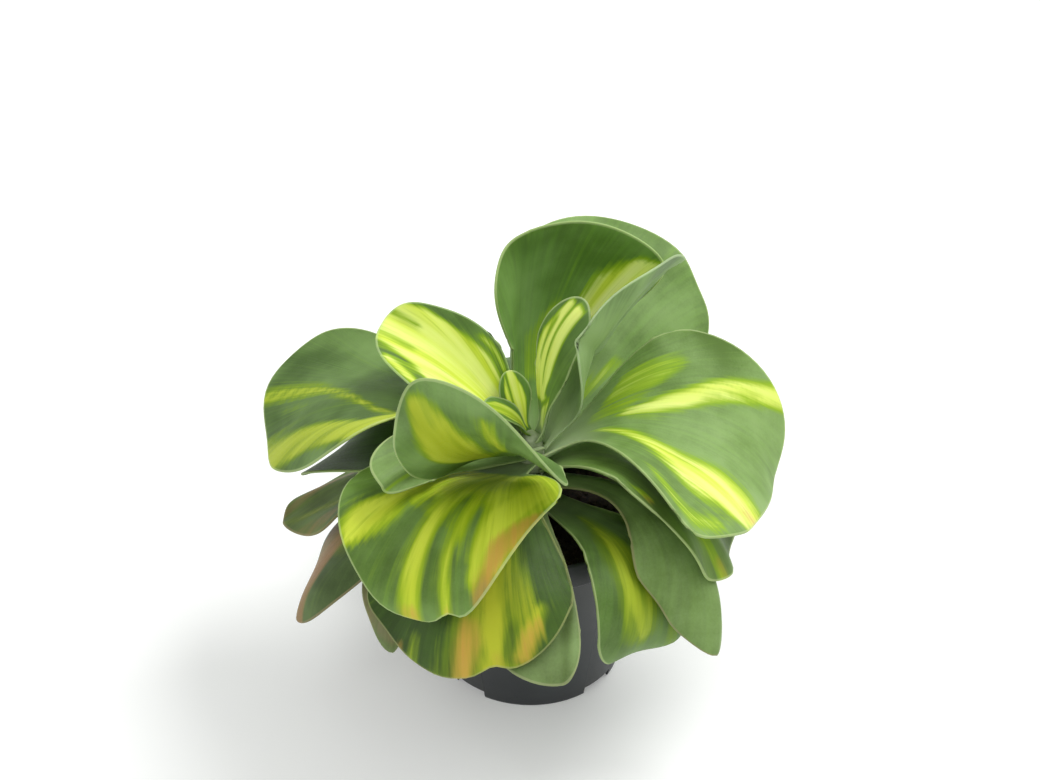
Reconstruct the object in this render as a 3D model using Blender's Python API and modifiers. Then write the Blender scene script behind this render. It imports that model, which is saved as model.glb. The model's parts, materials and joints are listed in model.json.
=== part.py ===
"""Paddle plant, a succulent with broad paddle leaves, growing in its plastic nursery pot.

Metres, +Z up. The origin is the middle of the pot's base, the front of the plant faces -Y.
Every leaf is one closed piece that stands with a hair's gap on the stem. The leaves follow each
other down the stem at even steps, youngest on top, and the older ones arch out over the pot.
"""

import math
from dataclasses import dataclass

import bmesh
import bpy
import numpy as np

# Clearance between pieces that touch on the real plant
GAP = 0.0003

# Pot
POT_HEIGHT = 0.096
POT_RIM_RADIUS = 0.059
POT_BAND_HEIGHT = 0.0135
POT_BAND_STEP = 0.0016
POT_BASE_RADIUS = 0.0436
POT_WALL = 0.0015
POT_FOOT_HEIGHT = 0.005
POT_FLOOR = 0.0018
POT_BOSS_RADIUS = 0.020
POT_SIDES = 44
FOOT_NOTCHES = 4
FOOT_NOTCH_WIDTH = 0.018
FOOT_NOTCH_TURN = 48.0
DRAIN_HOLES = 6
DRAIN_RADIUS = 0.0035
DRAIN_CIRCLE = 0.031

# Soil
SOIL_HEIGHT = 0.0865
SOIL_MOUND = 0.0015
SOIL_LUMP = 0.0009
SOIL_SECTORS = 36

# Stem
STEM_RADIUS = 0.0065
STEM_FOOT = 0.058
STEM_SHOULDER = 0.116
STEM_TOP = 0.130
STEM_SIDES = 24

# Leaves
FIRST_ROOT = 0.1295
ROOT_STEP = 0.00135
THICK_MIDDLE = 0.0032
EDGE_SHARE = 0.38
WAVE_SHARE = 0.010
CELLS_ALONG = 12
CELLS_ACROSS = 10
CROSS_STEPS = 16
MIDRIB_STEPS = 60

YELLOW_GREEN = (0.42, 0.52, 0.06, 1)
DULL_GREEN = (0.14, 0.25, 0.09, 1)


@dataclass(frozen=True)
class Leaf:
    """One paddle leaf. Lengths in metres, angles in degrees, left as seen from the stem."""

    name: str
    heading: float            # direction out of the stem, 0 along +X and 90 along +Y
    climb: tuple              # slope above level at the root, midway and at the tip
    length: float
    width: float
    bend: float = 0           # sideways turn of the midrib from root to tip
    roll: float = 0           # tilt of the blade, left side up
    cup: tuple = (15, 15)     # upward curl of the left and the right half
    crease: float = 0         # fold along the midrib
    lopside: float = 0        # extra share of width in the left half
    widest: float = 0.62      # where the blade is widest, as a share of its length
    roundness: float = 2.1    # power of the round end
    neck: float = 1.0         # larger for a neck that stays narrow for longer
    gutter: float = 20        # upward curl of the neck
    root_width: float = 0.012
    notch: tuple = (0, 0, 1)  # dent in the end: place across, depth as a share of length, half width
    thickness: float = THICK_MIDDLE
    colour: tuple = YELLOW_GREEN


LEAVES = (
    Leaf("bud_front", heading=187, climb=(76, 29, 25), length=0.027, width=0.015, bend=9, roll=-10,
         cup=(12, 20), crease=8, lopside=0.15, widest=0.61, neck=0.7, gutter=10, root_width=0.005,
         thickness=0.0016),
    Leaf("bud_back", heading=131, climb=(65, 63, 65), length=0.029, width=0.015, bend=-4, roll=-14,
         cup=(11, 18), crease=-1, lopside=-0.05, widest=0.59, roundness=2, neck=1.1, gutter=10,
         root_width=0.005, thickness=0.0016),
    Leaf("inner_right", heading=7, climb=(88, 95, 39), length=0.075, width=0.026, bend=12, roll=26,
         cup=(21, 27), crease=-15, lopside=-0.11, widest=0.64, neck=1.2, root_width=0.009,
         thickness=0.0022),
    Leaf("up_left", heading=158, climb=(52, 44, 12), length=0.084, width=0.061, bend=1, roll=-27,
         cup=(27, 16), crease=20, lopside=0.34, widest=0.5, roundness=2, neck=0.8, root_width=0.010,
         thickness=0.0026),
    Leaf("cup_front", heading=247, climb=(33, 22, 82), length=0.140, width=0.078, bend=-9, roll=34,
         cup=(-40, -20), crease=-12, lopside=0.36, roundness=1.7, neck=1.8, root_width=0.011,
         thickness=0.0028),
    Leaf("back_edge", heading=40, climb=(66, 53, 4), length=0.109, width=0.069, bend=-7, roll=-57,
         cup=(48, 38), crease=-33, lopside=-0.45, widest=0.51, roundness=1.8, neck=0.9,
         root_width=0.010, thickness=0.0026),
    Leaf("left", heading=176, climb=(55, 4, -59), length=0.136, width=0.122, bend=37, roll=12,
         cup=(24, 20), crease=-10, lopside=-0.28, widest=0.67, roundness=1.7, neck=1.6),
    Leaf("small_left", heading=231, climb=(26, 49, -13), length=0.101, width=0.027, bend=-1, roll=-52,
         cup=(11, -1), crease=-31, lopside=-0.27, widest=0.71, roundness=2.4, neck=0.9,
         root_width=0.009, thickness=0.0026),
    Leaf("back", heading=97, climb=(17, 70, 100), length=0.105, width=0.099, bend=-24, roll=63,
         cup=(1, 54), crease=12, lopside=-0.45, widest=0.79, roundness=2, neck=1.3,
         root_width=0.010),
    Leaf("right", heading=5, climb=(45, -2, -64), length=0.129, width=0.125, bend=-7, roll=24,
         cup=(2, 10), crease=13, lopside=-0.36, widest=0.55, roundness=1.7, neck=1.7,
         gutter=17, root_width=0.011),
    Leaf("front", heading=244, climb=(11, 73, -110), length=0.140, width=0.096, bend=11, roll=10,
         cup=(8, 11), crease=1, lopside=-0.06, widest=0.5, roundness=1.7, neck=1.3,
         notch=(0.27, 0.04, 0.13)),
    Leaf("back_right", heading=60, climb=(6, 41, 2), length=0.140, width=0.111, bend=-9, roll=32,
         cup=(4, -5), crease=-14, lopside=0.18, widest=0.61, roundness=2.3),
    Leaf("left_under", heading=168, climb=(17, 40, -90), length=0.099, width=0.074, bend=-29, roll=7,
         cup=(26, 7), crease=-23, lopside=0.45, widest=0.67, roundness=2, neck=1.3, colour=DULL_GREEN),
    Leaf("right_lower1", heading=333, climb=(44, -14, -61), length=0.117, width=0.098, bend=-21,
         roll=-32, cup=(35, 35), crease=-26, lopside=0.45, widest=0.64, roundness=2.8, neck=0.6),
    Leaf("front_low", heading=249, climb=(12, 23, -87), length=0.132, width=0.101, bend=7, roll=11,
         cup=(3, 16), crease=-28, lopside=-0.02, roundness=2.4, neck=1.2,
         notch=(0.45, 0.04, 0.14)),
    Leaf("back_low1", heading=93, climb=(22, -11, -41), length=0.123, width=0.094, bend=8, roll=1,
         cup=(-8, -12), crease=-13, lopside=0.24, widest=0.65, roundness=2.3, neck=1.6,
         colour=DULL_GREEN),
    Leaf("right_lower2", heading=332, climb=(19, 1, -81), length=0.139, width=0.043, bend=-72,
         roll=-32, cup=(-34, -14), crease=-27, lopside=-0.45, widest=0.66, roundness=1.7, neck=2,
         colour=DULL_GREEN),
    Leaf("left_low", heading=161, climb=(16, -45, -27), length=0.126, width=0.051, bend=42, roll=5,
         cup=(16, -16), crease=-6, lopside=0.26, widest=0.76, roundness=1.9, neck=1.1, root_width=0.010,
         colour=DULL_GREEN),
    Leaf("back_low3", heading=58, climb=(23, -4, -68), length=0.133, width=0.076, bend=-13, roll=-15,
         cup=(-3, -14), crease=-34, lopside=-0.4, widest=0.76, roundness=2.2, neck=1.5,
         colour=DULL_GREEN),
    Leaf("front_old", heading=276, climb=(5, -7, -36), length=0.114, width=0.037, bend=1, roll=9,
         cup=(2, 0), crease=-1, lopside=-0.45, widest=0.8, roundness=2, neck=1.2, colour=DULL_GREEN),
    Leaf("left_folded", heading=198, climb=(12, -13, -84), length=0.136, width=0.083, bend=-5, roll=10,
         cup=(-20, -11), crease=-9, lopside=-0.35, widest=0.64, roundness=1.7, neck=1.6,
         root_width=0.010, colour=DULL_GREEN),
    Leaf("back_low2", heading=97, climb=(22, 10, -70), length=0.115, width=0.057, bend=-9, roll=-5,
         cup=(-25, 13), crease=-30, lopside=0.08, widest=0.68, neck=1.5, colour=DULL_GREEN),
    Leaf("right_lower3", heading=319, climb=(-10, 59, -150), length=0.124, width=0.056, bend=-41,
         roll=-22, cup=(35, -7), crease=-8, lopside=-0.45, widest=0.8, roundness=1.9, neck=0.7),
    Leaf("left_old", heading=221, climb=(17, 9, -111), length=0.120, width=0.038, bend=39, roll=-1,
         cup=(2, 18), crease=-35, lopside=-0.43, widest=0.5, roundness=1.7, colour=DULL_GREEN),
    Leaf("back_low4", heading=84, climb=(17, 7, -74), length=0.110, width=0.083, bend=-2, roll=-2,
         cup=(-2, 2), crease=-16, lopside=-0.42, widest=0.61, roundness=2, neck=1.6, colour=DULL_GREEN),
)


def stem_radius(height):
    """Radius of the stem, a cylinder that ends in a dome."""
    rise = np.clip((height - STEM_SHOULDER) / (STEM_TOP - STEM_SHOULDER), 0, 1)
    return STEM_RADIUS * math.sqrt(1 - rise * rise)


def smooth_rise(value):
    """Ease from 0 to 1."""
    value = np.clip(value, 0, 1)
    return value * value * (3 - 2 * value)


def leaf_surface(leaf, root_height, u, v):
    """Points of the upper face, for u from root to margin and v from right (-1) to left (1)."""
    round_end = np.clip(1 - np.abs(v) ** leaf.roundness, 0, 1) ** (1 / leaf.roundness)
    along = u * (leaf.widest + (1 - leaf.widest) * round_end)
    place, depth, half_dent = leaf.notch
    along = along - depth * u ** 6 * np.exp(-((v - place) / half_dent) ** 2)

    # Midrib: slope and heading at evenly spaced stations, added up to points
    station = np.linspace(0, 1, MIDRIB_STEPS + 1)
    root, middle, tip = leaf.climb
    slope = np.radians(root * (1 - station) ** 2 + 2 * middle * station * (1 - station) + tip * station ** 2)
    turn = np.radians(leaf.heading + leaf.bend * station ** 2)
    forward = np.stack([np.cos(slope) * np.cos(turn), np.cos(slope) * np.sin(turn), np.sin(slope)], -1)
    left = np.stack([-np.sin(turn), np.cos(turn), 0 * turn], -1)
    up = np.cross(forward, left)
    lean = np.radians(leaf.roll * np.clip(station / 0.45, 0, 1))[:, None]
    side = left * np.cos(lean) + up * np.sin(lean)
    normal = up * np.cos(lean) - left * np.sin(lean)
    outward = np.array([math.cos(math.radians(leaf.heading)), math.sin(math.radians(leaf.heading)), 0])
    drop = 0.8 * leaf.thickness * max(0.0, -math.sin(math.radians(root)))
    root_radius = stem_radius(root_height) + 2 * GAP + drop
    midrib = np.zeros((MIDRIB_STEPS + 1, 3))
    midrib[1:] = np.cumsum((forward[1:] + forward[:-1]) / 2, 0) * leaf.length / MIDRIB_STEPS
    midrib += outward * root_radius + np.array([0, 0, root_height])

    def at(table):
        return np.stack([np.interp(along, station, table[:, axis]) for axis in range(3)], -1)

    # Cross-section: walk out from the midrib in short steps while the face curls up
    half_root = leaf.root_width / 2
    half_width = leaf.width / 2
    reach = half_root + (half_width - half_root) * smooth_rise(along / leaf.widest) ** leaf.neck
    across = v * reach * (1 + leaf.lopside * np.sign(v))
    walked = np.abs(across)[:, None] * (np.arange(CROSS_STEPS) + 0.5) / CROSS_STEPS
    cup = np.where(v > 0, leaf.cup[0], leaf.cup[1])[:, None]
    near_root = np.clip(1 - along / 0.5, 0, 1)[:, None]
    curl = np.radians(
        cup * walked / half_width
        + leaf.crease * np.tanh(walked / (0.12 * half_width))
        + leaf.gutter * near_root * np.clip(walked / half_root, 0, 1.3)
    )
    step = np.abs(across) / CROSS_STEPS
    sideways = np.cos(curl).sum(1) * step * np.sign(v)
    upwards = np.sin(curl).sum(1) * step

    # Gentle waves that run round the margin and die out inwards
    towards_margin = (1 - (1 - v ** 2) * (1 - u ** 3)) * smooth_rise(along / 0.5)
    wave = np.sin(10 * along + 6 * v + math.radians(3 * leaf.heading))
    upwards += WAVE_SHARE * leaf.length * towards_margin * wave
    points = at(midrib) + at(side) * sideways[:, None] + at(normal) * upwards[:, None]

    # The root clasps the stem: its corners step back round the stem's curve
    clasp = np.clip(1 - along / 0.14, 0, 1) ** 2
    corner = np.clip(np.abs(across), 0, 0.93 * root_radius)
    set_back = (root_radius - np.sqrt(root_radius ** 2 - corner ** 2)) * clasp
    return points - outward * set_back[:, None]


def collection_named(name):
    collection = bpy.data.collections.new(name)
    bpy.context.scene.collection.children.link(collection)
    return collection


def material_named(name, colour, roughness):
    material = bpy.data.materials.new(name)
    material.use_nodes = True
    shader = material.node_tree.nodes["Principled BSDF"]
    shader.inputs["Base Color"].default_value = colour
    shader.inputs["Roughness"].default_value = roughness
    shader.inputs["Metallic"].default_value = 0.0
    return material


def object_from_bmesh(name, mesh_data, collection, material):
    mesh = bpy.data.meshes.new(name)
    mesh_data.to_mesh(mesh)
    mesh_data.free()
    mesh.shade_smooth()
    obj = bpy.data.objects.new(name, mesh)
    obj.data.materials.append(material)
    collection.objects.link(obj)
    return obj


def profile_mesh(profile):
    """An open line of points in the XZ plane."""
    mesh_data = bmesh.new()
    points = [mesh_data.verts.new((radius, 0, height)) for radius, height in profile]
    for first, second in zip(points, points[1:]):
        mesh_data.edges.new((first, second))
    return mesh_data


def turned_object(name, profile, sides, collection, material):
    obj = object_from_bmesh(name, profile_mesh(profile), collection, material)
    screw = obj.modifiers.new("turn", "SCREW")
    screw.axis = "Z"
    screw.steps = sides
    screw.render_steps = sides
    screw.use_merge_vertices = True
    screw.merge_threshold = 0.00001
    screw.use_smooth_shade = True
    return obj


def pot_inside():
    """Inner face of the pot, from the middle of the floor up to the rim."""
    top_radius = POT_RIM_RADIUS - POT_WALL
    band_foot = POT_HEIGHT - POT_BAND_HEIGHT
    return [
        (0, POT_FLOOR),
        (POT_BOSS_RADIUS - POT_FLOOR, POT_FLOOR),
        (POT_BOSS_RADIUS, POT_FOOT_HEIGHT + POT_FLOOR),
        (POT_BASE_RADIUS - POT_WALL, POT_FOOT_HEIGHT + POT_FLOOR),
        (top_radius - POT_BAND_STEP, band_foot - POT_WALL),
        (top_radius - POT_BAND_STEP / 2, band_foot + POT_WALL),
        (top_radius, POT_HEIGHT - POT_WALL / 2),
    ]


def pot_outside():
    """Rim, band, wall and underside of the pot, from the rim down to the middle."""
    band_foot = POT_HEIGHT - POT_BAND_HEIGHT
    return [
        (POT_RIM_RADIUS - POT_WALL / 2, POT_HEIGHT),
        (POT_RIM_RADIUS, POT_HEIGHT - POT_WALL / 2),
        (POT_RIM_RADIUS - 0.0004, band_foot),
        (POT_RIM_RADIUS - 0.0008 - POT_BAND_STEP, band_foot - 0.0006),
        (POT_BASE_RADIUS, 0.001),
        (POT_BASE_RADIUS - 0.0005, 0),
        (POT_BASE_RADIUS - POT_WALL, 0),
        (POT_BASE_RADIUS - POT_WALL, POT_FOOT_HEIGHT),
        (POT_BOSS_RADIUS + POT_FLOOR, POT_FOOT_HEIGHT),
        (POT_BOSS_RADIUS, 0),
        (0, 0),
    ]


def cut_pot_foot(pot, cutters):
    """Four drainage notches in the foot ring and a circle of holes in the floor."""
    for index in range(FOOT_NOTCHES):
        angle = math.radians(FOOT_NOTCH_TURN + 360 / FOOT_NOTCHES * index)
        bpy.ops.mesh.primitive_cube_add(size=1)
        notch = bpy.context.object
        notch.scale = (0.012, FOOT_NOTCH_WIDTH, 2 * (POT_FOOT_HEIGHT - 0.0005))
        bpy.ops.object.transform_apply(location=False, rotation=False, scale=True)
        notch.location = (POT_BASE_RADIUS * math.cos(angle), POT_BASE_RADIUS * math.sin(angle), 0)
        notch.rotation_euler = (0, 0, angle)
        move_to_collection(notch, cutters)
    for index in range(DRAIN_HOLES):
        angle = 2 * math.pi * index / DRAIN_HOLES
        centre = (DRAIN_CIRCLE * math.cos(angle), DRAIN_CIRCLE * math.sin(angle), POT_FOOT_HEIGHT)
        bpy.ops.mesh.primitive_cylinder_add(
            vertices=12, radius=DRAIN_RADIUS, depth=4 * POT_FLOOR, location=centre,
        )
        move_to_collection(bpy.context.object, cutters)
    cut = pot.modifiers.new("foot", "BOOLEAN")
    cut.operation = "DIFFERENCE"
    cut.operand_type = "COLLECTION"
    cut.collection = cutters


def move_to_collection(obj, collection):
    for old in list(obj.users_collection):
        old.objects.unlink(obj)
    collection.objects.link(obj)
    obj.hide_render = True
    obj.display_type = "WIRE"


def add_pot(collection, cutters):
    plastic = material_named("pot plastic", (0.018, 0.021, 0.023, 1), 0.45)
    pot = turned_object("pot", pot_inside() + pot_outside(), POT_SIDES, collection, plastic)
    cut_pot_foot(pot, cutters)


def soil_profile():
    """Half section of the soil: hole for the stem, top, wall against the pot, floor."""
    hole = STEM_RADIUS + GAP
    rings = np.linspace(0.012, 0.0545, 8)
    inside = pot_inside()
    wall_top, wall_foot, boss_top, boss_foot = inside[4], inside[3], inside[2], inside[1]
    return (
        [(0, STEM_FOOT), (hole, STEM_FOOT), (hole, SOIL_HEIGHT)]
        + [(radius, SOIL_HEIGHT) for radius in rings]
        + [
            (wall_top[0] - GAP, wall_top[1]),
            (wall_foot[0] - GAP, wall_foot[1] + GAP),
            (boss_top[0] - GAP, boss_top[1] + GAP),
            (boss_foot[0] - GAP, boss_foot[1] + GAP),
            (0, boss_foot[1] + GAP),
        ]
    )


def soil_top(radius, angle):
    """Height of the crumbly soil surface: a low mound round the stem with small lumps."""
    mound = SOIL_MOUND * math.exp(-(radius / 0.02) ** 2)
    lumps = math.sin(5 * angle + 260 * radius) + math.sin(9 * angle - 410 * radius + 1.3)
    return SOIL_HEIGHT + mound + SOIL_LUMP * lumps * min(1, radius / 0.02)


def add_soil(collection):
    mesh_data = profile_mesh(soil_profile())
    bmesh.ops.spin(
        mesh_data, geom=mesh_data.verts[:] + mesh_data.edges[:], axis=(0, 0, 1), cent=(0, 0, 0),
        angle=2 * math.pi, steps=SOIL_SECTORS,
    )
    bmesh.ops.remove_doubles(mesh_data, verts=mesh_data.verts, dist=0.00001)
    for vert in mesh_data.verts:
        radius = math.hypot(vert.co.x, vert.co.y)
        if vert.co.z > SOIL_HEIGHT - 0.0001 and radius > STEM_RADIUS + 2 * GAP:
            vert.co.z = soil_top(radius, math.atan2(vert.co.y, vert.co.x))
    bmesh.ops.recalc_face_normals(mesh_data, faces=mesh_data.faces)
    earth = material_named("potting soil", (0.045, 0.026, 0.017, 1), 0.95)
    object_from_bmesh("soil", mesh_data, collection, earth)


def add_stem(collection):
    dome = [(stem_radius(height), height) for height in np.linspace(STEM_TOP, STEM_SHOULDER, 6)]
    profile = dome + [(STEM_RADIUS, STEM_FOOT + GAP), (0, STEM_FOOT + GAP)]
    bark = material_named("stem skin", (0.38, 0.44, 0.28, 1), 0.6)
    turned_object("stem", profile, STEM_SIDES, collection, bark)


def thickness_share(along, v):
    """Share of the full thickness: thick along the midrib, thin towards the margin."""
    towards_tip = np.sqrt(np.clip((1 - along) / 0.25, 0, 1))
    towards_root = 0.45 + 0.55 * smooth_rise(along / 0.16)
    return (1 - np.abs(v) ** 2.5) * towards_tip * towards_root


def add_leaf(leaf, order, collection):
    root_height = FIRST_ROOT - ROOT_STEP * order
    mesh_data = bmesh.new()
    bmesh.ops.create_grid(mesh_data, x_segments=CELLS_ALONG, y_segments=CELLS_ACROSS, size=1)
    mesh_data.verts.ensure_lookup_table()
    u = np.array([(vert.co.x + 1) / 2 for vert in mesh_data.verts])
    v = np.array([math.sin(math.pi / 2 * vert.co.y) for vert in mesh_data.verts])
    for vert, point in zip(mesh_data.verts, leaf_surface(leaf, root_height, u, v)):
        vert.co = point
    bmesh.ops.triangulate(mesh_data, faces=mesh_data.faces)
    skin = material_named("skin of " + leaf.name, leaf.colour, 0.55)
    obj = object_from_bmesh("leaf_" + leaf.name, mesh_data, collection, skin)
    group = obj.vertex_groups.new(name="thickness")
    for index, share in enumerate(thickness_share(u, v)):
        group.add([index], float(share), "REPLACE")
    solid = obj.modifiers.new("thickness", "SOLIDIFY")
    solid.thickness = leaf.thickness
    solid.offset = -1
    solid.vertex_group = "thickness"
    solid.thickness_vertex_group = EDGE_SHARE


def main():
    for obj in list(bpy.data.objects):
        bpy.data.objects.remove(obj, do_unlink=True)
    plant = collection_named("paddle plant in a pot")
    cutters = collection_named("cutters")
    add_pot(plant, cutters)
    add_soil(plant)
    add_stem(plant)
    for order, leaf in enumerate(LEAVES):
        add_leaf(leaf, order, plant)


main()
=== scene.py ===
"""Looks of the potted paddle plant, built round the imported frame.

Every leaf follows the same driving values as the solid that it stands for, on a finer grid, with
rounded margins. Yellow bands, blush and bloom run along the veins, which fan out from the root.
"""

import json
import math
from dataclasses import dataclass

import bmesh
import bpy
import numpy as np
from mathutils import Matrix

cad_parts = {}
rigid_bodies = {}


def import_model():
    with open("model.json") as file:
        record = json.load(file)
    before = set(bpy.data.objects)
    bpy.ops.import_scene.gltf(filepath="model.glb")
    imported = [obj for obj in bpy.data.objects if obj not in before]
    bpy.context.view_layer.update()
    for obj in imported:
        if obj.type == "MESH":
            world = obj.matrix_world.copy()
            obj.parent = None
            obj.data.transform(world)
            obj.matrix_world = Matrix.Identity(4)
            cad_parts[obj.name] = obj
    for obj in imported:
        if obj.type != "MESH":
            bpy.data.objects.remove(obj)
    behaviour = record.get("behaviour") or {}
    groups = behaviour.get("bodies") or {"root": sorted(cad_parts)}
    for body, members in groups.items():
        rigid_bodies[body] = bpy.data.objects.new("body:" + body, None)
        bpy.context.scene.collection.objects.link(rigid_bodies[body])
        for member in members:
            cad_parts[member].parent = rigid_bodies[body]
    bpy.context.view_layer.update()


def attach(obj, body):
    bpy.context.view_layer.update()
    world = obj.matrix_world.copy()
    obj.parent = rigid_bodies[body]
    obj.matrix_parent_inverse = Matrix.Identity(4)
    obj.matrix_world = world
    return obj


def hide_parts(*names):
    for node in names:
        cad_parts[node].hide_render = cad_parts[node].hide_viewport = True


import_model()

GAP = 0.0003
JOIN_WITHIN = 0.000001
FIRST_ROOT = 0.1295
ROOT_STEP = 0.00135
THICK_MIDDLE = 0.0032
EDGE_SHARE = 0.38
WAVE_SHARE = 0.010
STEM_RADIUS = 0.0065
STEM_FOOT = 0.058
STEM_SHOULDER = 0.116
STEM_TOP = 0.130
STEM_SIDES = 72
SCAR_DEPTH = 0.00012
CELLS_ALONG = 56
CELLS_ACROSS = 44
CROSS_STEPS = 16
MIDRIB_STEPS = 60
MARGIN_ANGLES = (36, 72, 108, 144)

# Pot and soil
POT_HEIGHT = 0.096
POT_RIM_RADIUS = 0.059
POT_BAND_HEIGHT = 0.0135
POT_BAND_STEP = 0.0016
POT_BASE_RADIUS = 0.0436
POT_WALL = 0.0015
POT_FOOT_HEIGHT = 0.005
POT_FLOOR = 0.0018
POT_BOSS_RADIUS = 0.020
POT_SIDES = 180
CORNER_RADIUS = 0.0007
FOOT_NOTCHES = 4
FOOT_NOTCH_WIDTH = 0.018
FOOT_NOTCH_DEPTH = 0.012
FOOT_NOTCH_TURN = 48.0
DRAIN_HOLES = 6
DRAIN_RADIUS = 0.0035
DRAIN_CIRCLE = 0.031
SOIL_HEIGHT = 0.0865
SOIL_MOUND = 0.0015
SOIL_LUMP = 0.0009
CRUMBS = 420
CRUMB_SIZES = (0.0004, 0.0014)

# Studio
LENS = 70
SENSOR_WIDTH = 36
CAMERA_PLACE = (-0.00495, -0.75922, 0.66467)
CAMERA_TILT = 56
AIM = (0, 0, 0.1)
SKY_STRENGTH = 0.68
FLOOR_GLOW = 0.19

# Colours, linear
MID_GREEN = (0.085, 0.180, 0.024)
FRESH_GREEN = (0.105, 0.235, 0.024)
PALE_GREEN = (0.150, 0.260, 0.075)
OLIVE_GREEN = (0.070, 0.110, 0.015)
CHARTREUSE = (0.260, 0.430, 0.010)
OLIVE_YELLOW = (0.380, 0.450, 0.018)
LEMON = (0.640, 0.760, 0.055)
PALE_LEMON = (0.780, 0.880, 0.230)
ORANGE = (0.560, 0.300, 0.060)
DUSKY_PINK = (0.300, 0.170, 0.070)
MARGIN_CREAM = (0.480, 0.580, 0.260)
MARGIN_PINK = (0.300, 0.230, 0.130)
POWDER = (0.270, 0.400, 0.150)
# Whitish neck colour: partly the real bloom, partly painted light that lifts the shaded necks by the stem
ROOT_BLOOM_AND_PAINTED_LIGHT = (0.560, 0.680, 0.400)


@dataclass(frozen=True)
class Leaf:
    """One paddle leaf, with the same values as its solid. Metres and degrees."""

    name: str
    heading: float
    climb: tuple
    length: float
    width: float
    bend: float = 0
    roll: float = 0
    cup: tuple = (15, 15)
    crease: float = 0
    lopside: float = 0
    widest: float = 0.62
    roundness: float = 2.1
    neck: float = 1.0
    gutter: float = 20
    root_width: float = 0.012
    notch: tuple = (0, 0, 1)
    thickness: float = THICK_MIDDLE


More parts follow.
